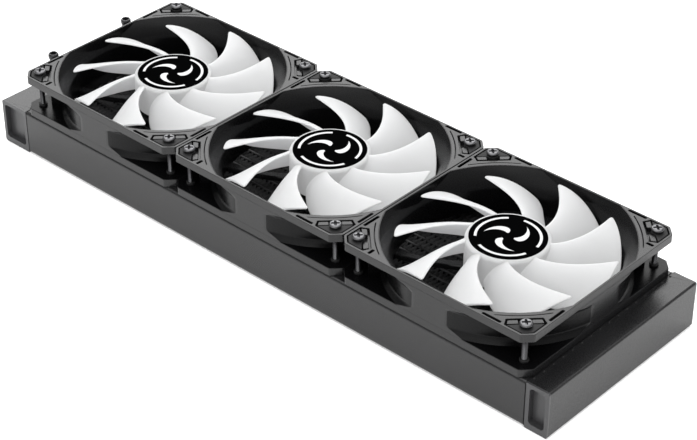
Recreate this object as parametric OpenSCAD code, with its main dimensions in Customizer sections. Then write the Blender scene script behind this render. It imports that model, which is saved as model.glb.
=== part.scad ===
// Three-fan liquid cooling radiator.
// Origin: axis of the middle fan, on the underside of the radiator.
// +X runs to the plain tank, +Y to the back panel, +Z to the fans. Millimetres.

/* [Radiator] */
// Height of the tanks and side panels
rad_h = 27; // [27:0.5:30]
// Width over the two side panels
rad_w = 120; // [120:0.5:122]
// Length of the left tank, which carries the hose fittings
left_tank_len = 20.7; // [18:0.1:30]
// Length of the plain right tank
right_tank_len = 13.7; // [12:0.1:24]
// Sheet thickness of the tanks, end caps and side panels
sheet_t = 1.2; // [1:0.1:1.4]
// Depth of the pocket pressed into each tank end cap
pocket_depth = 3.4; // [2:0.1:4]
// Number of flat coolant tubes
tube_count = 16; // [12:2:16]
// Centre distance of neighbouring tubes
tube_pitch = 7.35; // [6.8:0.05:7.35]
// Thickness of one tube
tube_t = 1.8; // [1.6:0.1:2.2]
// Depth of the tubes and fins, measured through the radiator
core_depth = 16; // [14:0.5:16]
// Length of one fold of the cooling fins
fin_fold = 6; // [5:0.5:10]
// Thickness of the fin strip
fin_t = 0.2; // [0.15:0.05:0.3]

/* [Hose fittings] */
// Distance of each hose fitting from the middle line
fitting_y = 28; // [20:1:40]
// Outer radius of the hose stub
stub_r = 3; // [2.8:0.1:4]
// Radius of the bore through the stub
stub_bore_r = 2; // [1.5:0.1:2.2]
// Height of the stub above the tank
stub_h = 21; // [18:0.5:24]

/* [Fans] */
// Side of the square fan frame
fan_size = 120; // [119:0.5:120]
// Centre distance of neighbouring fans
fan_pitch = 120.5; // [120.4:0.1:121]
// Thickness of a fan
fan_h = 25; // [25:0.5:27]
// Hole spacing of the fan screws
hole_spacing = 105; // [104:0.5:106]
// Thickness of the two square frame plates
plate_t = 4.5; // [3.5:0.1:5]
// Cut-off length at the corners of the frame plates
corner_cut = 5; // [4:0.1:7]
// Inner radius of the duct around the blades
duct_r = 57.5; // [57.4:0.1:57.7]
// Radius of the bell-shaped intake mouth at the top face
mouth_r = 64; // [62:0.5:65]
// Number of blades
blade_count = 9; // [7:1:11]
// Radius over the blade tips
blade_tip_r = 56.6; // [54:0.1:56.6]
// Thickness of a blade
blade_t = 1.5; // [1.2:0.1:1.8]
// Outer radius of the hub
hub_r = 21.75; // [21.5:0.05:22]

/* [Hidden] */
$fn = 96;

// Radiator, derived
body_half = 1.5 * fan_pitch - 0.75;  // half length between the two headers
header_gap = 0.7;         // visible thickness of a header between panel and tank
header_inset = 0.4;       // how far the header edge sits inside the outer faces
spigot_t = 1;             // part of the header that plugs into the tank
tank_x = body_half + header_gap;
bend_r = 2;               // outer bend radius of the side panels
tank_edge_r = 1.2;        // rounded long edges of the tanks
flange_w = 15;            // width of the side panel flanges
pocket_margin = 2.2;      // from the pocket to the side and top edges of a cap
pocket_foot = 3.5;        // from the pocket to the bottom edge of a cap
pocket_r = 2;             // corner radius of the pocket
pan_wall = 0.9;           // wall of the pressed pan
tube_wall = 0.4;
tube_end = tank_x + spigot_t + 0.2;  // stops short of the cap pockets
core_z0 = (rad_h - core_depth) / 2;
fin_gap = tube_pitch - tube_t;
side_gap = rad_w / 2 - sheet_t - (tube_count - 1) / 2 * tube_pitch - tube_t / 2;
fin_end = body_half - 1;
case_hole_r = 1.75;       // holes for the screws from the case, on the underside
slide_fit = 0.05;         // play between parts that plug into each other
fitting_x = -(tank_x + left_tank_len / 2);
bead_r = 0.55;            // seam beads on the tank tops, one per tube

// Fans, derived
half = fan_size / 2;
pad_r = hole_spacing / 2;
flare_r = 63.5;           // foot of the flares between duct and plates
flare_h = 2.8;
duct_out_r = flare_r - flare_h + 0.3;
base_t = 2.4;             // motor base
base_r = 21.5;
strut_w = 4;
strut_h = 3.4;
sleeve_r = 4.6;           // plastic tube around the bearing
bearing_r = 3.3;
shaft_r = 1.5;
screw_r = 1.5;
screw_len = 30;
head_r = 3.4;
head_h = 2.4;
hub_top = fan_h - 0.9;
hub_wall = 1.4;
hub_skirt_z = 5.6;
hub_edge_r = 2;
cup_t = 0.8;
cup_r = hub_r - hub_wall;
magnet_t = 2;
stator_r = 17;
label_r = 19.8;
label_t = 0.3;
mouth_turn = 11;          // height of the flared intake mouth
pocket_t = 2.4;           // depth of the corner pockets and of the pads in them
screw_hole_r = screw_r + 0.65;

// Blade surface: s runs from the hub (0) to the tip (1), u from the leading edge
// (0) to the trailing edge (1). Angles in degrees, lengths in millimetres.
blade_tip_angle = 142;
function lead_angle(s) = blade_tip_angle - 21.2 * (1 - s) - 17.2 * pow(1 - s, 2)
    + 6.2 * pow(1 - s, 3);
function blade_span(s) = 31.7 - 9.9 * s + 11.2 * s * s;
function lead_z(s) = 23.3 - 1.4 * (1 - s) + pow(1 - s, 2);
function blade_drop(s) = 14.6 + 4.3 * s - 3.2 * s * s;
function blade_r(s, u) = hub_r - 0.25 + (blade_tip_r - hub_r + 0.25) * s - 0.2 * u * s;
function blade_at(s, u) =
  let (a = lead_angle(s) - blade_span(s) * u, r = blade_r(s, u))
  [r * cos(a), r * sin(a), lead_z(s) - blade_drop(s) * (u - 0.85 * u * (1 - u))];
function unit(v) = v / norm(v);
function blade_normal(s, u) =
  unit(cross(blade_at(s + 0.01, u) - blade_at(s - 0.01, u),
             blade_at(s, u + 0.01) - blade_at(s, u - 0.01)));
// thickness tapers to the leading and trailing edges
function blade_half(u) = blade_t / 2 * (0.45 + 0.55 * pow(4 * u * (1 - u), 0.5));

module rounded_rect(w, h, r) {
  // centred rectangle with true round corners
  square([w - 2 * r, h], center = true);
  square([w, h - 2 * r], center = true);
  for (x = [-1, 1], y = [-1, 1])
    translate([x * (w / 2 - r), y * (h / 2 - r)]) circle(r);
}

// ---------------------------------------------------------------- radiator

// cross-section of a tank, outer face at x = len, open towards x = 0
module tank_section(len) {
  intersection() {
    translate([len / 2 - tank_edge_r, rad_h / 2])
      rounded_rect(len + 2 * tank_edge_r, rad_h, tank_edge_r);
    square([len, rad_h]);
  }
}

module tank_shell(len) {
  difference() {
    translate([0, rad_w / 2 - sheet_t, 0]) rotate([90, 0, 0])
      linear_extrude(rad_w - 2 * sheet_t) tank_section(len);
    translate([-1, -rad_w / 2, sheet_t])
      cube([len + 1 - sheet_t, rad_w, rad_h - 2 * sheet_t]);
  }
}

// row of seam beads along the inner top edge of a tank
module seam_beads() {
  for (i = [0 : tube_count - 1])
    translate([0.9, (i - (tube_count - 1) / 2) * tube_pitch, rad_h - 0.05])
      sphere(bead_r, $fn = 24);
}

module left_tank() {
  color("#202124") difference() {
    mirror([1, 0, 0]) translate([tank_x, 0, 0]) {
      tank_shell(left_tank_len);
      seam_beads();
    }
    for (s = [-1, 1]) translate([fitting_x, s * fitting_y, rad_h - 2])
      cylinder(h = 4, r = stub_r + 0.6);
  }
}

module right_tank() {
  color("#202124") translate([tank_x, 0, 0]) {
    tank_shell(right_tank_len);
    seam_beads();
  }
}

// front end cap of a tank that reaches from x = 0 to x = len
module tank_cap(len) {
  pocket_w = len - 2 * pocket_margin;
  pocket_h = rad_h - pocket_margin - pocket_foot;
  pocket_z = pocket_foot + pocket_h / 2;
  difference() {
    union() {
      translate([0, sheet_t - rad_w / 2, 0]) rotate([90, 0, 0])
        linear_extrude(sheet_t) tank_section(len);
      translate([len / 2, pocket_depth + pan_wall - rad_w / 2, pocket_z])
        rotate([90, 0, 0]) linear_extrude(pocket_depth)
          rounded_rect(pocket_w + 2 * pan_wall, pocket_h + 2 * pan_wall, pocket_r + pan_wall);
    }
    translate([len / 2, pocket_depth - rad_w / 2, pocket_z])
      rotate([90, 0, 0]) linear_extrude(pocket_depth + 1)
        rounded_rect(pocket_w, pocket_h, pocket_r);
  }
}

module left_tank_cap_front() {
  color("#1e1f22") mirror([1, 0, 0]) translate([tank_x, 0, 0]) tank_cap(left_tank_len);
}

module left_tank_cap_back() {
  color("#1e1f22") mirror([1, 0, 0]) mirror([0, 1, 0])
    translate([tank_x, 0, 0]) tank_cap(left_tank_len);
}

module right_tank_cap_front() {
  color("#1e1f22") translate([tank_x, 0, 0]) tank_cap(right_tank_len);
}

module right_tank_cap_back() {
  color("#1e1f22") mirror([0, 1, 0]) translate([tank_x, 0, 0]) tank_cap(right_tank_len);
}

module tube_outline(grow) {
  rounded_rect(tube_t + 2 * grow, core_depth + 2 * grow, tube_t / 2 + grow - 0.01);
}

module at_tubes() {
  for (i = [0 : tube_count - 1])
    translate([0, (i - (tube_count - 1) / 2) * tube_pitch, rad_h / 2])
      rotate([90, 0, 90]) children();
}

// header on the right-hand side
module header() {
  plug_y = rad_w - 2 * sheet_t - 2 * slide_fit;
  plug_z = rad_h - 2 * sheet_t - 2 * slide_fit;
  difference() {
    union() {
      translate([body_half, header_inset - rad_w / 2, header_inset])
        cube([header_gap, rad_w - 2 * header_inset, rad_h - 2 * header_inset]);
      translate([tank_x, -plug_y / 2, sheet_t + slide_fit]) cube([spigot_t, plug_y, plug_z]);
    }
    translate([body_half - 1, 0, 0]) at_tubes()
      linear_extrude(header_gap + spigot_t + 2) tube_outline(0);
  }
}

module left_header() {
  color("#303236") mirror([1, 0, 0]) header();
}

module right_header() {
  color("#303236") header();
}

module tank_baffle() {
  inner = tank_x + left_tank_len - sheet_t;
  near = tube_end + slide_fit;
  color("#303236") translate([-inner, -sheet_t / 2, sheet_t])
    cube([inner - near, sheet_t, rad_h - 2 * sheet_t]);
}

module coolant_tubes() {
  color("#26282b") translate([-tube_end, 0, 0]) at_tubes() linear_extrude(2 * tube_end)
    difference() {
      tube_outline(0);
      tube_outline(-tube_wall);
    }
}

// one folded fin strip that fills a gap of the given width
module fin_row(gap) {
  folds = floor(2 * fin_end / fin_fold);
  step = 2 * fin_end / folds / 2;
  top = [for (i = [0 : 2 * folds])
    [-fin_end + i * step, (i % 2 == 0 ? 0 : gap - 2 * fin_t) - gap / 2 + 2 * fin_t]];
  bottom = [for (i = [2 * folds : -1 : 0]) [top[i][0], top[i][1] - 2 * fin_t]];
  translate([0, 0, core_z0]) linear_extrude(core_depth) polygon(concat(top, bottom));
}

module cooling_fins() {
  color("#3a3c40") {
    for (i = [0 : tube_count - 2])
      translate([0, (i - (tube_count - 2) / 2) * tube_pitch, 0]) fin_row(fin_gap);
    for (s = [-1, 1])
      translate([0, s * (rad_w / 2 - sheet_t - side_gap / 2), 0]) fin_row(side_gap);
  }
}

module side_panel_front() {
  color("#232427") difference() {
    translate([-body_half, 0, 0]) rotate([90, 0, 90]) linear_extrude(2 * body_half)
      difference() {
        translate([-rad_w / 2 + flange_w, rad_h / 2]) rounded_rect(2 * flange_w, rad_h, bend_r);
        translate([-rad_w / 2 + flange_w, rad_h / 2])
          rounded_rect(2 * (flange_w - sheet_t), rad_h - 2 * sheet_t, bend_r - sheet_t);
        translate([-rad_w / 2 + flange_w, -1]) square([flange_w + 1, rad_h + 2]);
      }
    for (k = [-1 : 1], s = [-1, 1]) translate([k * fan_pitch + s * pad_r, -pad_r, 0]) {
      translate([0, 0, rad_h - sheet_t - 1]) cylinder(h = sheet_t + 2, r = screw_r);
      translate([0, 0, -1]) cylinder(h = sheet_t + 2, r = case_hole_r);
    }
  }
}

module side_panel_back() {
  mirror([0, 1, 0]) side_panel_front();
}

// hose stub with two grip grooves near its open end
module hose_fitting() {
  top = rad_h + stub_h;
  hole_r = stub_r + 0.6;
  groove = 0.45;
  rotate_extrude() polygon([
    [stub_bore_r, rad_h - sheet_t - 1.2], [stub_r + 1.4, rad_h - sheet_t - 1.2],
    [stub_r + 1.4, rad_h - sheet_t], [hole_r, rad_h - sheet_t],
    [hole_r, rad_h], [stub_r + 2, rad_h], [stub_r + 2, rad_h + 1.4],
    [stub_r, rad_h + 2.2], [stub_r, top - 10],
    [stub_r - groove, top - 9.6], [stub_r - groove, top - 8.6], [stub_r, top - 7.2],
    [stub_r, top - 5.4], [stub_r - groove, top - 5], [stub_r - groove, top - 3.8],
    [stub_r, top - 2.4], [stub_r, top - 0.8], [stub_r - 0.5, top], [stub_bore_r, top]]);
}

module inlet_fitting() {
  color("#1c1d20") translate([fitting_x, -fitting_y, 0]) hose_fitting();
}

module outlet_fitting() {
  color("#1c1d20") translate([fitting_x, fitting_y, 0]) hose_fitting();
}

// -------------------------------------------------------------------- fans
// Each fan part is drawn at the middle bay with z = 0 on the fan's underside.

module bay(k) {
  translate([k * fan_pitch, 0, rad_h]) children();
}

module at_screws() {
  for (x = [-1, 1], y = [-1, 1]) translate([x * pad_r, y * pad_r, 0]) children();
}

module plate_outline() {
  difference() {
    square(fan_size, center = true);
    for (a = [45 : 90 : 315]) rotate(a)
      translate([(fan_size - corner_cut) / sqrt(2), -fan_size / 2]) square(fan_size);
  }
}

module duct_outside() {
  rotate_extrude() polygon([[duct_r - 5, plate_t - 0.5], [flare_r, plate_t - 0.5],
    [flare_r, plate_t], [duct_out_r, plate_t + flare_h],
    [duct_out_r, fan_h - plate_t - flare_h],
    [flare_r, fan_h - plate_t], [flare_r, fan_h - plate_t + 0.5],
    [duct_r - 5, fan_h - plate_t + 0.5]]);
}

// the air passage: slightly wider at the exhaust, bell-shaped at the intake
module air_passage() {
  steps = 6;
  mouth = [for (i = [0 : steps]) let (t = i / steps)
    [duct_r + (mouth_r - duct_r) * pow(t, 1.6), fan_h - mouth_turn * (1 - t)]];
  rotate_extrude() polygon(concat([[0, -1], [duct_r + 1.2, -1], [duct_r + 1.2, 0],
    [duct_r, plate_t - 1]], mouth, [[mouth_r, fan_h + 1], [0, fan_h + 1]]));
}

// top view of the pocket in the corner between +X and +Y
module corner_pocket() {
  side = half - 1.4;
  end = half - 15.8;
  chamfer = half - 5.6;
  polygon([[side, end], [side, chamfer], [chamfer, side], [end, side],
    [43.3, 56.6], [42.1, 54.7], [54.7, 42.1], [56.6, 43.3]]);
}

// rubber pads round the screws, one in each pocket
module fan_corner_pads() {
  side = half - 1.95;
  end = half - 14.7;
  chamfer = half - 5.83;
  for (a = [0 : 90 : 270]) rotate([0, 0, a])
    translate([0, 0, fan_h - pocket_t]) linear_extrude(pocket_t) difference() {
      union() {
        polygon([[side, end], [side, chamfer], [chamfer, side], [end, side]]);
        translate([pad_r, pad_r]) circle(screw_hole_r + 0.95);
      }
      translate([pad_r, pad_r]) circle(screw_hole_r);
    }
}

module short_slot() {
  translate([half - 5.5, 39.8, fan_h - pocket_t]) cube([4, 1.5, 4]);
}

module fan_frame() {
  inner_wall = 1.4;
  difference() {
    union() {
      linear_extrude(plate_t) plate_outline();
      translate([0, 0, fan_h - plate_t]) linear_extrude(plate_t) plate_outline();
      intersection() {
        duct_outside();
        translate([-half, -half, 0]) cube([fan_size, fan_size, fan_h]);
      }
      // upright web from the duct to each corner
      for (a = [45 : 90 : 315]) rotate([0, 0, a])
        translate([duct_r + 1, -1, plate_t - 0.5]) cube([10.5, 2, fan_h - 2 * plate_t + 1]);
    }
    intersection() {
      air_passage();
      translate([inner_wall - half, inner_wall - half, -2])
        cube([fan_size - 2 * inner_wall, fan_size - 2 * inner_wall, fan_h + 4]);
    }
    at_screws() translate([0, 0, -1]) cylinder(h = fan_h + 2, r = screw_hole_r);
    // pocket for the pad, with two raised strips left standing beside the screw
    for (a = [0 : 90 : 270]) rotate([0, 0, a])
      translate([0, 0, fan_h - pocket_t]) linear_extrude(pocket_t + 1) difference() {
        corner_pocket();
        for (s = [-1, 1]) rotate(45) polygon([[69.5, 3.3 * s], [69.5, 8.2 * s],
          [72.4, 8.9 * s], [72.4, 3.3 * s]]);
      }
    // narrow slots beside the intake ring; two corners have a short one instead
    for (a = [0 : 90 : 270], s = [-1, 1])
      if (!(s == 1 && a == 0) && !(s == -1 && a == 270)) rotate([0, 0, a])
        translate([half - 2.6, s * 36.5 - 5.5, fan_h - 3]) cube([1.5, 11, 4]);
    short_slot();
    mirror([1, 1, 0]) short_slot();
  }
  // motor base, bearing tube and the four struts that carry them
  difference() {
    union() {
      cylinder(h = base_t, r = base_r);
      cylinder(h = 17, r = sleeve_r);
      intersection() {
        for (a = [25 : 90 : 295]) rotate([0, 0, a])
          translate([sleeve_r, -strut_w / 2, 0])
            cube([duct_r + 2 - sleeve_r, strut_w, strut_h]);
        difference() {
          cylinder(h = strut_h, r = duct_r + 1.8);
          translate([0, 0, base_t]) cylinder(h = strut_h, r = base_r - 1);
        }
      }
    }
    translate([0, 0, 1]) cylinder(h = 20, r = bearing_r);
  }
}

module blade() {
  nr = 7;
  nu = 8;
  root = -0.025;
  grid = [for (i = [0 : nr - 1], j = [0 : nu - 1]) [root + (1 - root) * i / (nr - 1), j / (nu - 1)]];
  upper = [for (g = grid) blade_at(g[0], g[1]) + blade_normal(g[0], g[1]) * blade_half(g[1])];
  lower = [for (g = grid) blade_at(g[0], g[1]) - blade_normal(g[0], g[1]) * blade_half(g[1])];
  n = nr * nu;
  skins = [for (i = [0 : nr - 2], j = [0 : nu - 2])
    let (a = i * nu + j, b = a + 1, c = a + nu, d = c + 1)
    each [[a, b, c], [b, d, c], [n + a, n + c, n + b], [n + b, n + c, n + d]]];
  ends = [for (j = [0 : nu - 2]) let (a = j, c = (nr - 1) * nu + j)
    each [[a, n + a, a + 1], [a + 1, n + a, n + a + 1],
          [c, c + 1, n + c], [c + 1, n + c + 1, n + c]]];
  sides = [for (i = [0 : nr - 2]) let (a = i * nu, c = a + nu - 1)
    each [[a, a + nu, n + a], [a + nu, n + a + nu, n + a],
          [c, n + c, c + nu], [c + nu, n + c, n + c + nu]]];
  polyhedron(points = concat(upper, lower), faces = concat(skins, ends, sides));
}

module hub() {
  rotate_extrude() difference() {
    union() {
      translate([0, hub_skirt_z]) square([hub_r, hub_top - hub_edge_r - hub_skirt_z]);
      translate([0, hub_skirt_z]) square([hub_r - hub_edge_r, hub_top - hub_skirt_z]);
      translate([hub_r - hub_edge_r, hub_top - hub_edge_r]) circle(hub_edge_r);
    }
    translate([-1, hub_skirt_z - 1]) square([cup_r + 1, hub_top - 1.2 - hub_skirt_z + 1]);
    translate([-1, hub_top - label_t]) square([label_r + 0.1 + 1, 2]);
    translate([-hub_r, 0]) square([hub_r, fan_h]);
  }
}

module fan_impeller() {
  hub();
  for (i = [0 : blade_count - 1]) rotate([0, 0, -i * 360 / blade_count]) blade();
}

module fan_hub_label() {
  translate([0, 0, hub_top - label_t]) cylinder(h = label_t, r = label_r);
}

module fan_rotor_cup() {
  z1 = hub_top - 1.2;
  difference() {
    translate([0, 0, hub_skirt_z]) cylinder(h = z1 - hub_skirt_z, r = cup_r);
    difference() {
      translate([0, 0, hub_skirt_z - 1])
        cylinder(h = z1 - cup_t - hub_skirt_z + 1, r = cup_r - cup_t);
      translate([0, 0, z1 - 4]) cylinder(h = 5, r = 3.4);
    }
    translate([0, 0, 10]) cylinder(h = 20, r = shaft_r);
  }
}

module fan_magnet_ring() {
  r = cup_r - cup_t;
  translate([0, 0, hub_skirt_z + 0.5]) difference() {
    cylinder(h = 10, r = r);
    translate([0, 0, -1]) cylinder(h = 12, r = r - magnet_t);
  }
}

module fan_shaft() {
  rotate_extrude() polygon([[0, 1.6], [1.2, 1.6], [shaft_r, 1.9], [shaft_r, 2.4],
    [shaft_r - 0.3, 2.4], [shaft_r - 0.3, 2.9], [shaft_r, 2.9],
    [shaft_r, hub_top - 1.2], [0, hub_top - 1.2]]);
}

module fan_bearing() {
  translate([0, 0, 3.6]) difference() {
    cylinder(h = 13.4, r = bearing_r);
    translate([0, 0, -1]) cylinder(h = 16, r = shaft_r + 0.04);
  }
}

module fan_stator() {
  translate([0, 0, 7.5]) linear_extrude(6) difference() {
    circle(stator_r);
    circle(sleeve_r);
    // the gaps between the four pole shoes and the room for the windings
    for (a = [0 : 90 : 270]) rotate(a) {
      translate([8, -1]) square([stator_r, 2]);
      intersection() {
        difference() {
          circle(stator_r - 2);
          circle(8);
        }
        translate([2.9, 2.9]) square(stator_r);
        rotate(-45) translate([0, -stator_r]) square([stator_r, 2 * stator_r]);
      }
      rotate(45) difference() {
        translate([8, -9]) square([stator_r - 10.6, 18]);
        translate([0, -2.6]) square([stator_r, 5.2]);
      }
    }
  }
}

module fan_coils() {
  for (a = [45 : 90 : 315]) rotate([0, 0, a]) translate([8.6, 0, 10.5]) rotate([90, 0, 90])
    linear_extrude(4.6) difference() {
      rounded_rect(9.6, 9.4, 1.5);
      square([5.4, 6.2], center = true);
    }
}

module fan_circuit_board() {
  translate([0, 0, 4]) difference() {
    cylinder(h = 1, r = 16);
    translate([0, 0, -1]) cylinder(h = 3, r = sleeve_r);
  }
}

module fan_shaft_clip() {
  translate([0, 0, 2.4]) difference() {
    cylinder(h = 0.5, r = 2.7, $fn = 48);
    translate([0, 0, -1]) cylinder(h = 3, r = shaft_r - 0.3, $fn = 48);
  }
}

module fan_screws() {
  at_screws() difference() {
    union() {
      translate([0, 0, fan_h - screw_len]) cylinder(h = screw_len + 1, r = screw_r, $fn = 48);
      translate([0, 0, fan_h]) cylinder(h = head_h - 0.7, r = head_r, $fn = 48);
      translate([0, 0, fan_h + head_h - 0.7])
        cylinder(h = 0.7, r1 = head_r, r2 = head_r - 0.9, $fn = 48);
    }
    for (a = [0, 90]) rotate([0, 0, a + 45])
      translate([-1.9, -0.45, fan_h + head_h - 1.5]) cube([3.8, 0.9, 2]);
  }
}

// small keeper rings on the screws, resting on the lower plate
module fan_screw_washers() {
  at_screws() translate([0, 0, plate_t]) difference() {
    cylinder(h = 1.6, r = 2.4, $fn = 48);
    translate([0, 0, -1]) cylinder(h = 4, r = screw_r, $fn = 48);
  }
}

module left_fan_frame() {
  color("#1b1c1e") bay(-1) fan_frame();
}

module left_fan_impeller() {
  color("#e8e8ea") bay(-1) fan_impeller();
}

module left_fan_hub_label() {
  color("#101113") bay(-1) fan_hub_label();
}

module left_fan_rotor_cup() {
  color("#9a9da1") bay(-1) fan_rotor_cup();
}

module left_fan_magnet_ring() {
  color("#3b3b3d") bay(-1) fan_magnet_ring();
}

module left_fan_shaft() {
  color("#c9ccd0") bay(-1) fan_shaft();
}

module left_fan_bearing() {
  color("#b08d57") bay(-1) fan_bearing();
}

module left_fan_stator() {
  color("#6d7075") bay(-1) fan_stator();
}

module left_fan_coils() {
  color("#b5622b") bay(-1) fan_coils();
}

module left_fan_circuit_board() {
  color("#1d5a35") bay(-1) fan_circuit_board();
}

module left_fan_shaft_clip() {
  color("#d8d8d4") bay(-1) fan_shaft_clip();
}

module left_fan_screws() {
  color("#3c3e42") bay(-1) fan_screws();
}

module left_fan_corner_pads() {
  color("#141416") bay(-1) fan_corner_pads();
}

module left_fan_screw_washers() {
  color("#17181a") bay(-1) fan_screw_washers();
}

module middle_fan_frame() {
  color("#1b1c1e") bay(0) fan_frame();
}

module middle_fan_impeller() {
  color("#e8e8ea") bay(0) fan_impeller();
}

module middle_fan_hub_label() {
  color("#101113") bay(0) fan_hub_label();
}

module middle_fan_rotor_cup() {
  color("#9a9da1") bay(0) fan_rotor_cup();
}

module middle_fan_magnet_ring() {
  color("#3b3b3d") bay(0) fan_magnet_ring();
}

module middle_fan_shaft() {
  color("#c9ccd0") bay(0) fan_shaft();
}

module middle_fan_bearing() {
  color("#b08d57") bay(0) fan_bearing();
}

module middle_fan_stator() {
  color("#6d7075") bay(0) fan_stator();
}

module middle_fan_coils() {
  color("#b5622b") bay(0) fan_coils();
}

module middle_fan_circuit_board() {
  color("#1d5a35") bay(0) fan_circuit_board();
}

module middle_fan_shaft_clip() {
  color("#d8d8d4") bay(0) fan_shaft_clip();
}

module middle_fan_screws() {
  color("#3c3e42") bay(0) fan_screws();
}

module middle_fan_corner_pads() {
  color("#141416") bay(0) fan_corner_pads();
}

module middle_fan_screw_washers() {
  color("#17181a") bay(0) fan_screw_washers();
}

module right_fan_frame() {
  color("#1b1c1e") bay(1) fan_frame();
}

module right_fan_impeller() {
  color("#e8e8ea") bay(1) fan_impeller();
}

module right_fan_hub_label() {
  color("#101113") bay(1) fan_hub_label();
}

module right_fan_rotor_cup() {
  color("#9a9da1") bay(1) fan_rotor_cup();
}

module right_fan_magnet_ring() {
  color("#3b3b3d") bay(1) fan_magnet_ring();
}

module right_fan_shaft() {
  color("#c9ccd0") bay(1) fan_shaft();
}

module right_fan_bearing() {
  color("#b08d57") bay(1) fan_bearing();
}

module right_fan_stator() {
  color("#6d7075") bay(1) fan_stator();
}

module right_fan_coils() {
  color("#b5622b") bay(1) fan_coils();
}

module right_fan_circuit_board() {
  color("#1d5a35") bay(1) fan_circuit_board();
}

module right_fan_shaft_clip() {
  color("#d8d8d4") bay(1) fan_shaft_clip();
}

module right_fan_screws() {
  color("#3c3e42") bay(1) fan_screws();
}

module right_fan_corner_pads() {
  color("#141416") bay(1) fan_corner_pads();
}

module right_fan_screw_washers() {
  color("#17181a") bay(1) fan_screw_washers();
}

left_tank();
right_tank();
left_tank_cap_front();
left_tank_cap_back();
right_tank_cap_front();
right_tank_cap_back();
left_header();
right_header();
tank_baffle();
coolant_tubes();
cooling_fins();
side_panel_front();
side_panel_back();
inlet_fitting();
outlet_fitting();
left_fan_frame();
left_fan_impeller();
left_fan_hub_label();
left_fan_rotor_cup();
left_fan_magnet_ring();
left_fan_shaft();
left_fan_bearing();
left_fan_stator();
left_fan_coils();
left_fan_circuit_board();
left_fan_shaft_clip();
left_fan_screws();
left_fan_screw_washers();
left_fan_corner_pads();
middle_fan_frame();
middle_fan_impeller();
middle_fan_hub_label();
middle_fan_rotor_cup();
middle_fan_magnet_ring();
middle_fan_shaft();
middle_fan_bearing();
middle_fan_stator();
middle_fan_coils();
middle_fan_circuit_board();
middle_fan_shaft_clip();
middle_fan_screws();
middle_fan_screw_washers();
middle_fan_corner_pads();
right_fan_frame();
right_fan_impeller();
right_fan_hub_label();
right_fan_rotor_cup();
right_fan_magnet_ring();
right_fan_shaft();
right_fan_bearing();
right_fan_stator();
right_fan_coils();
right_fan_circuit_board();
right_fan_shaft_clip();
right_fan_screws();
right_fan_screw_washers();
right_fan_corner_pads();
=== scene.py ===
import math

import bmesh
import bpy
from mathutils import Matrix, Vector
from mathutils.geometry import tessellate_polygon


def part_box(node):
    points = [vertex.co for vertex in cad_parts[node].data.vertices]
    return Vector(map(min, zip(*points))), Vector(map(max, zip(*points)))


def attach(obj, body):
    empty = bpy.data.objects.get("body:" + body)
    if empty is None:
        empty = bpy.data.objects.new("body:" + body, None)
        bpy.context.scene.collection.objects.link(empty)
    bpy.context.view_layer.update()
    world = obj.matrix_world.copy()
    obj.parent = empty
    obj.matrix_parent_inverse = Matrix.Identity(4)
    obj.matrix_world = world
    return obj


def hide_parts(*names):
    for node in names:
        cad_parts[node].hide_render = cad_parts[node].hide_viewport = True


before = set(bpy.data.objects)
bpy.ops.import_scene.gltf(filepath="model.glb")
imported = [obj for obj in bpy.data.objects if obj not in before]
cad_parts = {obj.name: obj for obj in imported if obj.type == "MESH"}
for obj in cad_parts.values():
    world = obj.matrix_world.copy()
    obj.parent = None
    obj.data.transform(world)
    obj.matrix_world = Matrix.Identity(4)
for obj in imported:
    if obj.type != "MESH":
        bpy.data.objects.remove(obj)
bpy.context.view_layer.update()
MM = 0.001
SIDES = ("left", "middle", "right")


def node_centre(node):
    lo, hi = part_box(node)
    return [(a + b) / 2 for a, b in zip(lo, hi)]


# every fan part is modelled round the fan's own axis, z = 0 at its underside
FAN_X = {side: node_centre(side + "_fan_frame")[0] for side in SIDES}
FAN_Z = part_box("middle_fan_frame")[0][2]
FAN_H = 25.0        # fan thickness
HALF = 60.0         # half the side of a fan
HOLE = 52.5         # screws from the fan's axis, along X and along Y
HOLE_R = 2.15       # screw holes in the plates
SCREW_R = 1.5
CORNERS = (0, 90, 180, 270)

# ---------------------------------------------------------------- materials


def shader(name, base, rough, metal=0.0, spec=0.5):
    mat = bpy.data.materials.new(name)
    mat.use_nodes = True
    nodes, links = mat.node_tree.nodes, mat.node_tree.links
    bsdf = nodes["Principled BSDF"]
    bsdf.inputs["Base Color"].default_value = (*base, 1)
    bsdf.inputs["Roughness"].default_value = rough
    bsdf.inputs["Metallic"].default_value = metal
    bsdf.inputs["Specular IOR Level"].default_value = spec
    return mat, nodes, links, bsdf


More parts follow.
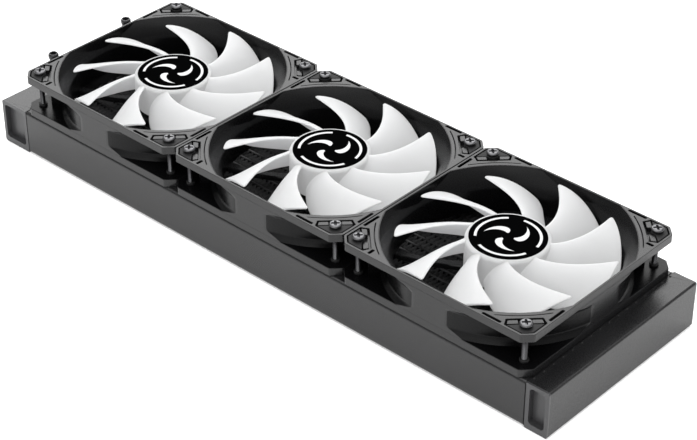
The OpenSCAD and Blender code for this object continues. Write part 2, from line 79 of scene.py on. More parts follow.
def surface_noise(nodes, links, bsdf, base, rough, grain, depth, tint=0.12, rough_swing=0.08):
    """Fine moulded or sprayed grain, with slow drifts of colour and roughness."""
    coord = nodes.new("ShaderNodeTexCoord")
    fine = nodes.new("ShaderNodeTexNoise")
    fine.inputs["Scale"].default_value = grain
    fine.inputs["Detail"].default_value = 4
    slow = nodes.new("ShaderNodeTexNoise")
    slow.inputs["Scale"].default_value = 22
    slow.inputs["Detail"].default_value = 3
    links.new(coord.outputs["Object"], fine.inputs["Vector"])
    links.new(coord.outputs["Object"], slow.inputs["Vector"])
    bump = nodes.new("ShaderNodeBump")
    bump.inputs["Strength"].default_value = 1.0
    bump.inputs["Distance"].default_value = depth
    links.new(fine.outputs["Fac"], bump.inputs["Height"])
    links.new(bump.outputs["Normal"], bsdf.inputs["Normal"])
    ramp = nodes.new("ShaderNodeValToRGB")
    ramp.color_ramp.elements[0].position = 0.3
    ramp.color_ramp.elements[1].position = 0.7
    ramp.color_ramp.elements[0].color = (*[c * (1 - tint) for c in base], 1)
    ramp.color_ramp.elements[1].color = (*[min(1, c * (1 + tint)) for c in base], 1)
    links.new(slow.outputs["Fac"], ramp.inputs["Fac"])
    links.new(ramp.outputs["Color"], bsdf.inputs["Base Color"])
    span = nodes.new("ShaderNodeMapRange")
    span.inputs["From Min"].default_value = 0.3
    span.inputs["From Max"].default_value = 0.7
    span.inputs["To Min"].default_value = max(0.02, rough - rough_swing)
    span.inputs["To Max"].default_value = rough + rough_swing
    links.new(fine.outputs["Fac"], span.inputs["Value"])
    links.new(span.outputs["Result"], bsdf.inputs["Roughness"])


def grained(name, base, rough, grain, depth, metal=0.0, spec=0.5, tint=0.12, rough_swing=0.06):
    mat, nodes, links, bsdf = shader(name, base, rough, metal, spec)
    surface_noise(nodes, links, bsdf, base, rough, grain, depth, tint, rough_swing)
    return mat


PAINT = grained("radiator_paint", (0.01, 0.01, 0.0106), 0.28, 2600, 0.00002, spec=0.45)
CORE = grained("core_paint", (0.01, 0.01, 0.0105), 0.5, 1800, 0.00002)
# Painted light: the tank end caps take a lighter copy of the radiator paint so that the floors of
# their pockets look lit.
CAP_LIT_PAINT = grained("cap_lit_paint", (0.04, 0.04, 0.042), 0.36, 2600, 0.00002, spec=0.5)
FRAME_PLASTIC = grained("frame_plastic", (0.01, 0.01, 0.0105), 0.28, 3200, 0.000015, spec=0.4)
# darker, less glossy copy of the frame plastic, used as painted shade inside the duct and in the
# hollows
DUCT_SHADE = grained("duct_painted_shade", (0.003, 0.003, 0.0033), 0.28, 3200, 0.000008, spec=0.15)
RUBBER = grained("corner_rubber", (0.012, 0.012, 0.0125), 0.6, 2400, 0.00002, spec=0.3)
BLADE = grained("blade_plastic", (0.43, 0.434, 0.438), 0.5, 900, 0.000008, spec=0.3, tint=0.015,
                rough_swing=0.04)
_b = BLADE.node_tree.nodes["Principled BSDF"]
# Emission is painted light: a faint glow lifts the shaded undersides and roots of the milky blades
# in place of bounce light.
_b.inputs["Emission Color"].default_value = (1, 1, 1, 1)
_b.inputs["Emission Strength"].default_value = 0.2
_b.inputs["Subsurface Weight"].default_value = 0.9
_b.inputs["Subsurface Radius"].default_value = (0.007, 0.007, 0.0072)
_b.inputs["Subsurface Scale"].default_value = 1.0
LABEL = grained("label_film", (0.0015, 0.0015, 0.0016), 0.5, 700, 0.000006, spec=0.0)
LABEL_PRINT = grained("label_print", (0.6, 0.6, 0.61), 0.4, 700, 0.000004, tint=0.02)
SCREW = grained("screw_steel", (0.13, 0.13, 0.135), 0.32, 1500, 0.00001, metal=1.0)
STEEL = grained("rotor_steel", (0.5, 0.5, 0.51), 0.35, 1500, 0.00001, metal=1.0)
MAGNET = grained("magnet", (0.06, 0.06, 0.062), 0.6, 1200, 0.00002)
BRONZE = grained("bearing_bronze", (0.5, 0.33, 0.14), 0.4, 1800, 0.00002, metal=1.0)
STATOR = grained("stator_steel", (0.3, 0.31, 0.32), 0.45, 900, 0.00002, metal=1.0)
WINDING = grained("winding", (0.5, 0.18, 0.06), 0.35, 900, 0.00004, metal=0.6)
BOARD = grained("board", (0.02, 0.12, 0.05), 0.4, 500, 0.00001)
NYLON = grained("clip_plastic", (0.7, 0.7, 0.68), 0.45, 700, 0.00001)
FITTING = grained("fitting_metal", (0.03, 0.03, 0.032), 0.3, 1800, 0.00001, metal=0.4)

# ------------------------------------------------------------- mesh helpers


def make_piece(name, verts, faces, mat, body=None, smooth=30, weighted=True):
    mesh = bpy.data.meshes.new(name)
    mesh.from_pydata([tuple(c * MM for c in v) for v in verts], [], faces)
    bm = bmesh.new()
    bm.from_mesh(mesh)
    bmesh.ops.remove_doubles(bm, verts=bm.verts, dist=1e-7)
    bmesh.ops.dissolve_degenerate(bm, edges=bm.edges, dist=1e-7)
    bmesh.ops.recalc_face_normals(bm, faces=bm.faces)
    bm.to_mesh(mesh)
    bm.free()
    return finish_mesh(name, mesh, mat, body, smooth, weighted)


def finish_mesh(name, mesh, mat, body=None, smooth=30, weighted=True):
    for poly in mesh.polygons:
        poly.use_smooth = True
    mesh.set_sharp_from_angle(angle=math.radians(smooth))
    if not mesh.materials:
        mesh.materials.append(mat)
    obj = bpy.data.objects.new(name, mesh)
    bpy.context.scene.collection.objects.link(obj)
    if weighted:
        mod = obj.modifiers.new("even_normals", "WEIGHTED_NORMAL")
        mod.keep_sharp = True
    if body:
        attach(obj, body)
    return obj


class Build:
    """Collects vertices and faces of several closed shapes for one piece."""

    def __init__(self):
        self.verts, self.faces = [], []

    def add(self, verts, faces):
        base = len(self.verts)
        self.verts += [tuple(v) for v in verts]
        self.faces += [tuple(base + i for i in f) for f in faces]

    def grid(self, rows, closed_rows=True, closed_cols=False):
        """Quads between rows of equal length; rows run around, columns run along."""
        n = len(rows[0])
        faces = []
        last = len(rows) if closed_cols else len(rows) - 1
        for j in range(last):
            for i in range(n if closed_rows else n - 1):
                a, b = j * n + i, j * n + (i + 1) % n
                c, d = ((j + 1) % len(rows)) * n + (i + 1) % n, ((j + 1) % len(rows)) * n + i
                faces.append((a, b, c, d))
        self.add([p for row in rows for p in row], faces)

    def lathe(self, profile, count=96, centre=(0, 0), closed_cols=False):
        """Turns (radius, z) points about a vertical axis. Points on the axis close the shape."""
        self.grid([ring_row(*centre, r, z, count) for r, z in profile], closed_cols=closed_cols)

    def prism(self, loops, z0, z1, top=0.0, bottom=0.0, steps=3):
        """Plate from an outer loop and hole loops, with rounded top and bottom edges."""
        loops = [oriented(loop, k == 0) for k, loop in enumerate(loops)]
        turns = [math.pi / 2 * k / steps for k in range(steps + 1)]
        levels = [(z0, 0)]
        if bottom:
            levels = [(z0 + bottom * (1 - math.cos(a)), bottom * (1 - math.sin(a)))
                      for a in turns]
        if top:
            levels += [(z1 - top * (1 - math.sin(a)), top * (1 - math.cos(a))) for a in turns]
        else:
            levels.append((z1, 0))
        for loop in loops:
            self.grid([[(x, y, z) for x, y in inset(loop, d)] for z, d in levels])
        for z, d in (levels[0], levels[-1]):
            flat = [inset(loop, d) for loop in loops]
            tris = tessellate_polygon([[Vector((x, y, 0)) for x, y in loop] for loop in flat])
            pts = [(x, y, z) for loop in flat for x, y in loop]
            self.add(pts, tris)


def ring_row(cx, cy, r, z, count, start=0.0):
    """Points round a vertical axis at one height."""
    return [(cx + r * math.cos(2 * math.pi * i / count + start),
             cy + r * math.sin(2 * math.pi * i / count + start), z) for i in range(count)]


def area(loop):
    return sum(a[0] * b[1] - b[0] * a[1] for a, b in zip(loop, loop[1:] + loop[:1])) / 2


def oriented(loop, outer):
    return loop if (area(loop) > 0) == outer else loop[::-1]


def inset(loop, d):
    """Moves each point of a loop into the material by d, along the mitre of its two edges."""
    if not d:
        return loop
    out = []
    n = len(loop)
    for i, (x, y) in enumerate(loop):
        ax, ay = x - loop[i - 1][0], y - loop[i - 1][1]
        bx, by = loop[(i + 1) % n][0] - x, loop[(i + 1) % n][1] - y
        la, lb = math.hypot(ax, ay), math.hypot(bx, by)
        if la < 1e-9 or lb < 1e-9:
            out.append((x, y))
            continue
        n1, n2 = (-ay / la, ax / la), (-by / lb, bx / lb)
        mx, my = n1[0] + n2[0], n1[1] + n2[1]
        k = 2 / max(0.5, mx * mx + my * my)
        out.append((x + mx * k * d, y + my * k * d))
    return out


def arc(cx, cy, r, a0, a1, count):
    return [(cx + r * math.cos(math.radians(a0 + (a1 - a0) * i / count)),
             cy + r * math.sin(math.radians(a0 + (a1 - a0) * i / count))) for i in range(count + 1)]


def circle(cx, cy, r, count=64):
    return arc(cx, cy, r, 0, 360, count)[:-1]


def rounded_loop(points, r, count=4):
    """Rounds each corner of a polygon with a small arc of about radius r."""
    out = []
    n = len(points)
    for i, p in enumerate(points):
        a, b = points[i - 1], points[(i + 1) % n]
        ua = (a[0] - p[0], a[1] - p[1])
        ub = (b[0] - p[0], b[1] - p[1])
        la, lb = math.hypot(*ua), math.hypot(*ub)
        t = min(r, la / 2.2, lb / 2.2)
        s = (p[0] + ua[0] / la * t, p[1] + ua[1] / la * t)
        e = (p[0] + ub[0] / lb * t, p[1] + ub[1] / lb * t)
        for k in range(count + 1):
            f = k / count
            out.append(tuple((1 - f) ** 2 * s[j] + 2 * f * (1 - f) * p[j] + f * f * e[j]
                             for j in range(2)))
    return out


def turned(loop, degrees):
    c, s = math.cos(math.radians(degrees)), math.sin(math.radians(degrees))
    return [(x * c - y * s, x * s + y * c) for x, y in loop]


def paint_shade_inside(mesh, mat):
    """Paints shade: the air passage and the hollows outside the duct get a darker copy of the
    skin's plastic, standing in for the shade that falls in them.
    """
    mesh.materials.append(mat)
    skin, low, high = (HALF - 0.1) * MM, (PLATE - 0.05) * MM, (FAN_H - PLATE + 0.05) * MM
    facing_axis = -0.15
    for poly in mesh.polygons:
        x, y, z = poly.center
        inward = poly.normal.x * x + poly.normal.y * y < facing_axis * math.hypot(x, y)
        hollow = max(abs(x), abs(y)) < skin and low < z < high
        if inward or hollow:
            poly.material_index = 1


def place_on_fans(name, build, mat, rotor=False, smooth=30, weighted=True, node=None,
                  painted_shade=None):
    """One copy of a fan piece on each of the three fans."""
    first = None
    for side in SIDES:
        label = side + "_fan_" + name
        if first is None:
            obj = make_piece(label, build.verts, build.faces, mat, None, smooth, weighted)
            if painted_shade:
                paint_shade_inside(obj.data, painted_shade)
            first = obj
        else:
            obj = bpy.data.objects.new(label, first.data)
            bpy.context.scene.collection.objects.link(obj)
            if weighted:
                obj.modifiers.new("even_normals", "WEIGHTED_NORMAL").keep_sharp = True
        obj.location = (FAN_X[side], 0, FAN_Z)
        bpy.context.view_layer.update()
        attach(obj, side + "_rotor" if rotor else "radiator")
        if node:
            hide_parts(side + "_fan_" + node)


# ---------------------------------------------------------------- fan frame
RIM_R = 63.9            # mouth of the duct at the top
RIM_WALL = 58.75        # where the mouth is cut off by the fan's sides
DUCT_R = 57.5
MOUTH_H = 10.7          # height over which the duct opens into the mouth
MOUTH_STEPS = 14
LID_Z = FAN_H - 2.4     # floor of the corner pockets
LIP = 0.3
PLATE = 4.5             # thickness of the top and bottom plates
STRIP = (3.3, 8.2, 8.9)  # raised strip: near end, far end inside, far end outside


def square_row(radius, limit, z, flat=5, curve=9):
    """A circle cut off by a square, as one row of points with the cut on set points."""
    bend = math.degrees(math.acos(limit / radius)) if radius > limit + 0.01 else 0.8
    angles = [bend * k / flat for k in range(flat)]
    angles += [bend + (45 - bend) * k / curve for k in range(curve)]
    octant = angles + [45] + [90 - a for a in reversed(angles[1:])]
    row = []
    for q in range(4):
        for a in octant:
            t = math.radians(a + 90 * q)
            r = min(radius, limit / max(abs(math.cos(t)), abs(math.sin(t))))
            row.append((r * math.cos(t), r * math.sin(t), z))
    return row


def flat_row(radius, limit):
    return [(x, y) for x, y, z in square_row(radius, limit, 0)]


def frame_shell():
    b = Build()
    rows = [(RIM_R + LIP, RIM_WALL + LIP, LID_Z + 0.05),
            (RIM_R + LIP, RIM_WALL + LIP, FAN_H - 0.05),
            (RIM_R + 0.1, RIM_WALL + 0.1, FAN_H - 0.05), (RIM_R, RIM_WALL, FAN_H - 0.2)]
    for k in range(1, MOUTH_STEPS + 1):
        t = 1 - k / MOUTH_STEPS
        rows.append((DUCT_R + (RIM_R - DUCT_R) * t ** 1.6, RIM_WALL - 0.15 * min(1, k / 2),
                     FAN_H - 0.2 - MOUTH_H * (1 - t)))
    wall = RIM_WALL - 0.15
    rows += [(DUCT_R, wall, 3.6), (DUCT_R + 1.0, wall + 0.5, 0.35),
             (DUCT_R + 1.25, wall + 0.6, 0.06), (DUCT_R + 1.7, wall + 0.9, 0.06)]
    edge = HALF - 0.02
    rows += [(59.4, edge - 0.4, 4.3), (63.2, edge, 4.4), (63.5, edge, 4.7),
             (62.2, edge, 6.0), (61.25, edge, 7.2), (61.0, edge, 8.2), (61.0, edge, 16.8),
             (61.25, edge, 17.8), (62.2, edge, 19.0), (63.5, edge, 20.3), (63.9, edge, 20.5),
             (65.5, edge - 0.3, 20.6), (65.5, edge - 0.3, LID_Z + 0.05)]
    b.grid([square_row(*row) for row in rows], closed_cols=True)
    # upright webs behind the screws
    for a in (45, 135, 225, 315):
        for start, low, high in ((59.8, 4.4, 16.1), (60.8, 16, 18.6), (62.6, 18.5, 20.6)):
            loop = rounded_loop([(start, -1), (69.5, -1), (69.5, 1), (start, 1)], 0.6)
            b.prism([turned(loop, a)], low, high)
    return b


def diagonal(p, q):
    """Point at distance p out along the corner diagonal and q to its left."""
    c = math.sqrt(0.5)
    return (p * c - q * c, p * c + q * c)


def square_outline():
    """The fan's square with cut corners, from one corner turned four times."""
    cut = HALF - 5
    corner = rounded_loop([(0, HALF), (cut, HALF), (HALF, cut), (HALF, 0)], 0.8, 5)[6:-6][::-1]
    outline = []
    for a in CORNERS:
        outline += turned(corner, a)
    return outline


def screw_holes():
    return [circle(x, y, HOLE_R, 40) for x in (-HOLE, HOLE) for y in (-HOLE, HOLE)]


def corner_pocket():
    return rounded_loop([(44.2, 58.6), (54.4, 58.6), (58.6, 54.4), (58.6, 44.2),
                         diagonal(70.6, -9.4), diagonal(68.4, -8.9), diagonal(68.4, 8.9),
                         diagonal(70.6, 9.4)], 0.5)


def slot_loop(x0, y0, x1, y1):
    return rounded_loop([(x0, y0), (x1, y0), (x1, y1), (x0, y1)], 0.6)


def frame_plates():
    b = Build()
    outline = square_outline()
    b.prism([outline, flat_row(65.4, 59.6)] + screw_holes(), FAN_H - PLATE, LID_Z, bottom=0.25)
    cuts = []
    for a in CORNERS:
        cuts.append(turned(corner_pocket(), a))
        cuts.append(turned(arc(0, 0, 66.5, 33, 57, 18) + arc(0, 0, 66.15, 57, 33, 18), a))
        # one slot along each side, with a short one in its place at two corners
        back, side = slot_loop(31, 57.45, 42, 58.9), slot_loop(57.45, 31, 58.9, 42)
        if a == 0:
            side = slot_loop(54.5, 39.8, 58.5, 41.3)
        if a == 180:
            back = slot_loop(39.8, 54.5, 41.3, 58.5)
        cuts += [turned(back, a), turned(side, a)]
    b.prism([outline, flat_row(RIM_R + LIP, RIM_WALL + LIP)] + cuts, LID_Z, FAN_H, top=0.2)
    # short raised strips on both sides of the screw
    for a in CORNERS:
        for s in (-1, 1):
            near, far_in, far_out = (s * q for q in STRIP)
            strip = rounded_loop([diagonal(69.5, near), diagonal(69.5, far_in),
                                  diagonal(72.4, far_out), diagonal(72.4, near)], 0.5)
            b.prism([oriented(turned(strip, a), True)], LID_Z - 0.1, FAN_H - 0.05, top=0.25)
    b.prism([outline, circle(0, 0, 59.2, 144)] + screw_holes(), 0, PLATE, top=0.3, bottom=0.3)
    return b


def corner_pads():
    """Dark rubber pads round the screws, set into the pockets of the top plate."""
    b = Build()
    tab = arc(HOLE, HOLE, 3.1, 286, 164, 16)
    loop = ([(58.05, 45.3), (58.05, 54.17), (54.17, 58.05), (45.3, 58.05)] + tab[::-1])
    for a in CORNERS:
        b.prism([turned(loop, a), turned(circle(HOLE, HOLE, HOLE_R, 40), a)],
                LID_Z, FAN_H, top=0.45)
    return b


def frame_base():
    b = Build()
    b.lathe([(0, 0), (20.9, 0), (21.4, 0.15), (21.5, 0.6), (21.5, 1.9), (21.2, 2.3), (20.7, 2.4),
             (4.9, 2.4), (4.6, 2.9), (4.6, 16.8), (4.4, 17), (3.3, 17), (3.3, 1), (0, 1)], 120)
    start, end = 20.6, 58.2  # the struts run from the motor base into the duct wall
    for k in range(4):
        a = 25 + 90 * k
        rows = []
        for s in range(13):
            f = s / 12
            x = start + (end - start) * f
            w = 2.0 + 0.7 * (2 * f - 1) ** 2
            sway = 2.2 * math.sin(math.pi * f)
            loop = []
            for px, pz in ((-1, 0.12), (-0.86, 0), (0.86, 0), (1, 0.12), (1, 0.78), (0.82, 0.97),
                           (0.6, 1), (-0.6, 1), (-0.82, 0.97), (-1, 0.78)):
                y = px * w + sway
                c, si = math.cos(math.radians(a)), math.sin(math.radians(a))
                loop.append((x * c - y * si, x * si + y * c, 0.04 + pz * 3.3))
            rows.append(loop)
        b.grid(rows)
        n = len(rows[0])
        b.add(rows[0], [tuple(range(n))])
        b.add(rows[-1], [tuple(range(n - 1, -1, -1))])
    return b


# inward faces and hollows of the frame take the painted-shade copy of the plastic
place_on_fans("duct", frame_shell(), FRAME_PLASTIC, smooth=32, node="frame",
              painted_shade=DUCT_SHADE)
place_on_fans("plates", frame_plates(), FRAME_PLASTIC, smooth=32, node="frame",
              painted_shade=DUCT_SHADE)
place_on_fans("pads", corner_pads(), RUBBER, smooth=32, node="corner_pads")
place_on_fans("motor_base", frame_base(), FRAME_PLASTIC, smooth=32, node="frame")

# ----------------------------------------------------------------- impeller
HUB_R = 21.75
TIP_R = 56.6
HUB_TOP = FAN_H - 0.9
HUB_WALL = 1.4
BLADES = 9
LABEL_R = 19.8
LABEL_T = 0.3


def blade_point(s, u):
    """Middle surface: s from hub (0) to tip (1), u from leading (0) to trailing edge (1)."""
    q = 1 - s
    lead = 142 - 21.2 * q - 17.2 * q * q + 6.2 * q ** 3
    span = 31.7 - 9.9 * s + 11.2 * s * s
    drop = 14.6 + 4.3 * s - 3.2 * s * s
    r = HUB_R - 0.25 + (TIP_R - HUB_R + 0.25) * s - 0.2 * u * s
    a = math.radians(lead - span * u)
    z = 23.3 - 1.4 * q + q * q - drop * (u - 0.85 * u * (1 - u))
    return Vector((r * math.cos(a), r * math.sin(a), z))


def blade(b, turn):
    nr, nu = 34, 22
    e = 0.004
    rows_up, rows_down = [], []
    for i in range(nr + 1):
        # rows gather towards the tip, where the outline turns
        s = -0.02 + 1.02 * (1 - (1 - i / nr) ** 1.6)
        up, down = [], []
        for j in range(nu + 1):
            # points gather near both edges so that they are round
            u = (1 - math.cos(math.pi * j / nu)) / 2
            lead = 0.06 * (1 - math.sqrt(1 - min(1, max(0, (s - 0.945) / 0.055)) ** 2))
            trail = 0.14 * (1 - math.sqrt(1 - min(1, max(0, (s - 0.84) / 0.16)) ** 2))
            u = lead + (1 - lead - trail) * u
            p = blade_point(s, u)
            n = (blade_point(s + e, u) - blade_point(s - e, u)).cross(
                blade_point(s, u + e) - blade_point(s, u - e)).normalized()
            if n.z < 0:
                n.negate()
            root = 1 + 0.9 * math.exp(-max(0, s) * 34)
            half = 0.75 * root * (0.5 + 0.5 * (4 * u * (1 - u)) ** 0.5)
            round_edge = min(1, math.sin(math.pi * j / nu) * 3.2) if 0 < j < nu else 0.0
            round_tip = 1 if s < 0.985 else math.sqrt(max(0, 1 - ((s - 0.985) / 0.0151) ** 2))
            h = half * round_edge * max(0.04, round_tip)
            up.append(p + n * h)
            down.append(p - n * h)
        rows_up.append(up)
        rows_down.append(down)
    c, si = math.cos(math.radians(turn)), math.sin(math.radians(turn))
    rows = [up + down[-2:0:-1] for up, down in zip(rows_up, rows_down)]
    rows = [[(p[0] * c - p[1] * si, p[0] * si + p[1] * c, p[2]) for p in row] for row in rows]
    b.grid(rows)
    n = len(rows[0])
    tip = rows[-1]
    b.add(tip, [(i, i + 1, n - 1 - i, n - i) for i in range(1, nu)] + [(0, 1, n - 1)])
    return b


def impeller():
    b = Build()
    r = HUB_R
    edge = 2.0
    profile = [(0, HUB_TOP - LABEL_T), (LABEL_R + 0.1, HUB_TOP - LABEL_T),
               (LABEL_R + 0.12, HUB_TOP - 0.05), (LABEL_R + 0.2, HUB_TOP)]
    for k in range(1, 9):
        a = math.pi / 2 * k / 8
        profile.append((r - edge * (1 - math.sin(a)) if k < 8 else r,
                        HUB_TOP - edge * (1 - math.cos(a))))
    profile += [(r, 6.0), (r - 0.2, 5.65), (r - 1.3, 5.6), (r - HUB_WALL, 5.8),
                (r - HUB_WALL, HUB_TOP - 1.2), (0, HUB_TOP - 1.2)]
    b.lathe(profile, 144)
    for k in range(BLADES):
        blade(b, -360 / BLADES * k)
    return b


place_on_fans("rotor_blades", impeller(), BLADE, rotor=True, smooth=38, node="impeller")


def label_disc():
    b = Build()
    z = HUB_TOP - LABEL_T
    b.lathe([(0, z + 0.01), (LABEL_R - 0.05, z + 0.01), (LABEL_R, z + 0.05), (LABEL_R, z + 0.24),
             (LABEL_R - 0.1, z + LABEL_T), (0, z + LABEL_T)], 120)
    return b


def vane_edge(bow):
    """One long edge of a swirl vane, running outwards from the middle."""
    edge = []
    for i in range(15):
        f = i / 14
        a = 20 + 62 * f - bow * math.sin(math.pi * min(1, 0.12 + f * 0.88)) * (1 - 0.35 * f)
        r = 3.2 + 9.6 * f
        edge.append((r * math.cos(math.radians(a)), r * math.sin(math.radians(a))))
    return edge


def label_motif():
    """A plain swirl of three curved vanes inside broken ring segments, printed white."""
    b = Build()
    z0, z1 = HUB_TOP - 0.02, HUB_TOP + 0.05
    vane = vane_edge(0) + vane_edge(46)[::-1]
    segment = arc(0, 0, 17.1, 8, 100, 24) + arc(0, 0, 15.7, 100, 8, 24)
    for k in range(3):
        b.prism([turned(vane, 120 * k)], z0, z1)
        b.prism([turned(segment, 120 * k)], z0, z1)
    return b


place_on_fans("hub_disc", label_disc(), LABEL, rotor=True, node="hub_label")
place_on_fans("hub_print", label_motif(), LABEL_PRINT, rotor=True, node="hub_label",
              weighted=False)

# ------------------------------------------------------------------- screws


def screw_head(b, cx, cy):
    """Pan head with a soft cross recess, on its shank."""
    head_r, head_h = 3.35, 2.4
    flat_r = 2.4                  # the domed rim starts here
    cross_reach, cross_depth = 2.2, 1.5
    screw_len, thread_pitch, thread_depth = 30, 0.5, 0.22
    z0 = FAN_H
    count = 96
    radii = [0] + [0.12 * i for i in range(1, 20)] + [2.45, 2.65, 2.85, 3.02, 3.16, 3.26, 3.32]
    rows = []
    for r in radii:
        row = []
        for i in range(count):
            t = 2 * math.pi * i / count
            x, y = r * math.cos(t + math.pi / 4), r * math.sin(t + math.pi / 4)
            dome = head_h - 0.12 * (r / head_r) ** 2
            if r > flat_r:
                f = (r - flat_r) / (head_r - flat_r)
                dome -= 0.95 * (1 - math.sqrt(max(0, 1 - f * f)))
            arm = 0.6 - 0.09 * r
            inside = min(abs(r * math.cos(t)), abs(r * math.sin(t)))
            reach = max(abs(r * math.cos(t)), abs(r * math.sin(t)))
            side = min(1, max(0, (arm + 0.12 - inside) / 0.2))
            end = min(1, max(0, (cross_reach - reach) / 0.35))
            dome -= cross_depth * side * end
            row.append((cx + x, cy + y, z0 + dome))
        rows.append(row)
    for r, z in ((3.36, 1.2), (3.25, 0.95), (2.5, 0.8), (2.5, 0.0), (SCREW_R, 0.0)):
        rows.append(ring_row(cx, cy, r, z0 + z, count, math.pi / 4))
    b.grid(rows)
    # plain neck, then a thread down to just above the point
    shank = [(SCREW_R, 0.05)]
    for k in range(7, 58):
        z = -thread_pitch * k
        shank += [(SCREW_R, z), (SCREW_R - thread_depth, z - thread_pitch / 2)]
    shank += [(1.2, 0.4 - screw_len), (0.9, -screw_len), (0, -screw_len)]
    b.lathe([(r, z0 + z) for r, z in shank], 24, (cx, cy))


def keeper_rings():
    """Small rings on the bottom plate that hold the screws in the fan."""
    ring_r, ring_h = 2.4, 1.6
    profile = [(SCREW_R, 0), (ring_r - 0.1, 0), (ring_r, 0.15), (ring_r, ring_h - 0.3),
               (ring_r - 0.25, ring_h), (SCREW_R, ring_h)]
    b = Build()
    for x in (-HOLE, HOLE):
        for y in (-HOLE, HOLE):
            b.lathe([(r, PLATE + z) for r, z in profile], 48, (x, y), closed_cols=True)
    return b


def screws():
    b = Build()
    for x in (-HOLE, HOLE):
        for y in (-HOLE, HOLE):
            screw_head(b, x, y)
    return b


place_on_fans("bolts", screws(), SCREW, smooth=40, node="screws",
              weighted=False)
place_on_fans("keepers", keeper_rings(), RUBBER, smooth=40, node="screw_washers",
              weighted=False)

# --------------------------------------------------------------------- core


def fins():
    """Folded fin strips, finer than the CAD zigzag, one between each pair of tubes."""
    b = Build()
    t_lo, t_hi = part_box("coolant_tubes")
    f_lo, f_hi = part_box("cooling_fins")
    tubes = 16
    tube_t = 1.8
    y0, y1 = t_lo[1] / MM + tube_t / 2, t_hi[1] / MM - tube_t / 2
    pitch = (y1 - y0) / (tubes - 1)
    x0, x1 = f_lo[0] / MM + 0.3, f_hi[0] / MM - 0.3
    z0, z1 = f_lo[2] / MM, f_hi[2] / MM
    folds = 119
    fold = (x1 - x0) / folds
    gaps = [(y0 + (i + 0.5) * pitch, pitch - tube_t) for i in range(tubes - 1)]
    side_gap = f_hi[1] / MM - (y1 + tube_t / 2)
    side_y = y1 + tube_t / 2 + side_gap / 2
    gaps += [(side_y, side_gap), (-side_y, side_gap)]
    clearance = 0.11  # half the strip and a little air
    for yc, gap in gaps:
        amp = gap / 2 - clearance
        line = []
        for k in range(folds):
            for f, v in ((0.0, 0.0), (0.13, 0.72), (0.19, 0.94), (0.25, 1.0), (0.31, 0.94),
                         (0.37, 0.72), (0.63, -0.72), (0.69, -0.94), (0.75, -1.0),
                         (0.81, -0.94), (0.87, -0.72)):
                line.append((x0 + (k + f) * fold, yc + v * amp))
        b.grid([[(x, y, z) for x, y in line] for z in (z0, z1)], closed_rows=False)
    return b


def fin_piece():
    b = fins()
    mesh = bpy.data.meshes.new("core_fins")
    mesh.from_pydata([tuple(c * MM for c in v) for v in b.verts], [], b.faces)
    mesh.materials.append(CORE)
    for poly in mesh.polygons:
        poly.use_smooth = True
    obj = bpy.data.objects.new("core_fins", mesh)
    bpy.context.scene.collection.objects.link(obj)
    mod = obj.modifiers.new("strip_thickness", "SOLIDIFY")
    mod.thickness = 0.00018
    mod.offset = 0
    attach(obj, "radiator")
    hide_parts("cooling_fins")


fin_piece()

# -------------------------------------------------- CAD nodes that stay shown
KEPT = {
    "left_tank": (PAINT, 0.35), "right_tank": (PAINT, 0.35),
    # the end caps get the lighter, painted-light copy of the radiator paint
    "left_tank_cap_front": (CAP_LIT_PAINT, 0.15), "left_tank_cap_back": (CAP_LIT_PAINT, 0.15),
    "right_tank_cap_front": (CAP_LIT_PAINT, 0.15), "right_tank_cap_back": (CAP_LIT_PAINT, 0.15),
    "left_header": (CORE, 0.15), "right_header": (CORE, 0.15), "tank_baffle": (CORE, 0.15),
    "coolant_tubes": (CORE, 0), "side_panel_front": (PAINT, 0), "side_panel_back": (PAINT, 0),
    "inlet_fitting": (FITTING, 0), "outlet_fitting": (FITTING, 0),
}
for _side in SIDES:
    for _part, _mat in (("rotor_cup", STEEL), ("magnet_ring", MAGNET), ("shaft", STEEL),
                        ("bearing", BRONZE), ("stator", STATOR), ("coils", WINDING),
                        ("circuit_board", BOARD), ("shaft_clip", NYLON)):
        KEPT[_side + "_fan_" + _part] = (_mat, 0)

for _name, (_mat, _edge) in KEPT.items():
    _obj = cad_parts[_name]
    for _slot in _obj.material_slots:
        _slot.material = _mat
    if not _obj.material_slots:
        _obj.data.materials.append(_mat)
    if _edge:
        _w = _obj.modifiers.new("weld", "WELD")
        _w.merge_threshold = 0.000001
        _m = _obj.modifiers.new("soft_edges", "BEVEL")
        _m.width = _edge * MM
        _m.segments = 3
        _m.limit_method = "ANGLE"
        _m.angle_limit = math.radians(38)
        _m.harden_normals = False
        _obj.modifiers.new("even_normals", "WEIGHTED_NORMAL")

# ----------------------------------------------------- camera, floor, lights
cam_data = bpy.data.cameras.new("camera")
cam = bpy.data.objects.new("camera", cam_data)
bpy.context.scene.collection.objects.link(cam)
cam.location = (FAN_X["middle"] + 0.60816, -0.65075, 0.61166)
cam.rotation_euler = Vector((-0.55781, 0.61021, -0.56257)).to_track_quat("-Z", "Y").to_euler()
cam_data.sensor_width = 36
cam_data.lens = 102.68
cam_data.clip_start = 0.01
cam_data.clip_end = 20
bpy.context.scene.camera = cam

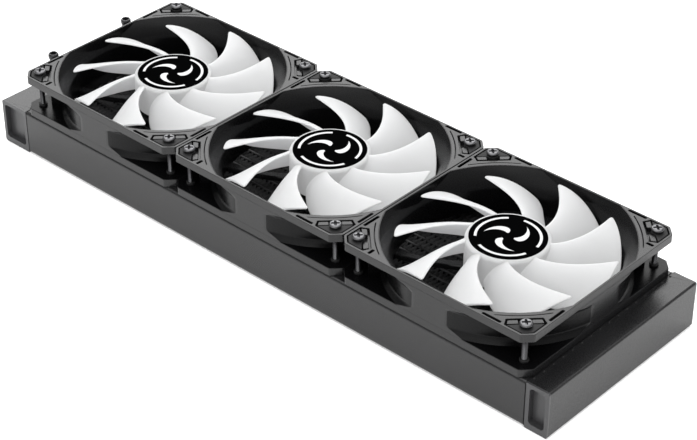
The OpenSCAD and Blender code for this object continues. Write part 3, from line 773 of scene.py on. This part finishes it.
floor_mesh = bpy.data.meshes.new("floor")
floor_mesh.from_pydata([(-6, -6, -0.0004), (6, -6, -0.0004), (6, 6, -0.0004), (-6, 6, -0.0004)],
                       [], [(0, 1, 2, 3)])
floor = bpy.data.objects.new("floor", floor_mesh)
floor_mat, _n, _l, _fb = shader("floor", (0.93, 0.93, 0.93), 0.8, spec=0.1)
surface_noise(_n, _l, _fb, (0.93, 0.93, 0.93), 0.8, 60, 0.00001, tint=0.004)
_fb.inputs["Emission Color"].default_value = (1, 1, 1, 1)
_fb.inputs["Emission Strength"].default_value = 0.35
floor_mesh.materials.append(floor_mat)
bpy.context.scene.collection.objects.link(floor)


def area_light(name, location, target, size, power, size_y=None):
    data = bpy.data.lights.new(name, "AREA")
    data.shape = "RECTANGLE"
    data.size = size
    data.size_y = size_y or size
    data.energy = power
    obj = bpy.data.objects.new(name, data)
    obj.location = location
    obj.rotation_euler = (Vector(target) - Vector(location)).to_track_quat("-Z", "Y").to_euler()
    bpy.context.scene.collection.objects.link(obj)
    return obj


area_light("top", (0.0, -0.1, 1.8), (0, 0, 0), 2.6, 34)
area_light("back_left", (-1.5, 1.65, 1.55), (0, 0, 0), 2.0, 27, 1.4)
area_light("front", (0.4, -1.9, 0.8), (0, 0, 0), 1.8, 8)

world = bpy.data.worlds.new("world")
world.use_nodes = True
_wn, _wl = world.node_tree.nodes, world.node_tree.links
_coord = _wn.new("ShaderNodeTexCoord")
_split = _wn.new("ShaderNodeSeparateXYZ")
_ramp = _wn.new("ShaderNodeValToRGB")
_ramp.color_ramp.elements[0].position = 0.0
_ramp.color_ramp.elements[0].color = (0.16, 0.16, 0.16, 1)
_ramp.color_ramp.elements[1].position = 0.75
_ramp.color_ramp.elements[1].color = (0.85, 0.85, 0.85, 1)
_wl.new(_coord.outputs["Generated"], _split.inputs["Vector"])
_wl.new(_split.outputs["Z"], _ramp.inputs["Fac"])
_wl.new(_ramp.outputs["Color"], _wn["Background"].inputs["Color"])
_wn["Background"].inputs["Strength"].default_value = 1.0
bpy.context.scene.world = world
bpy.context.scene.view_settings.view_transform = "Standard"
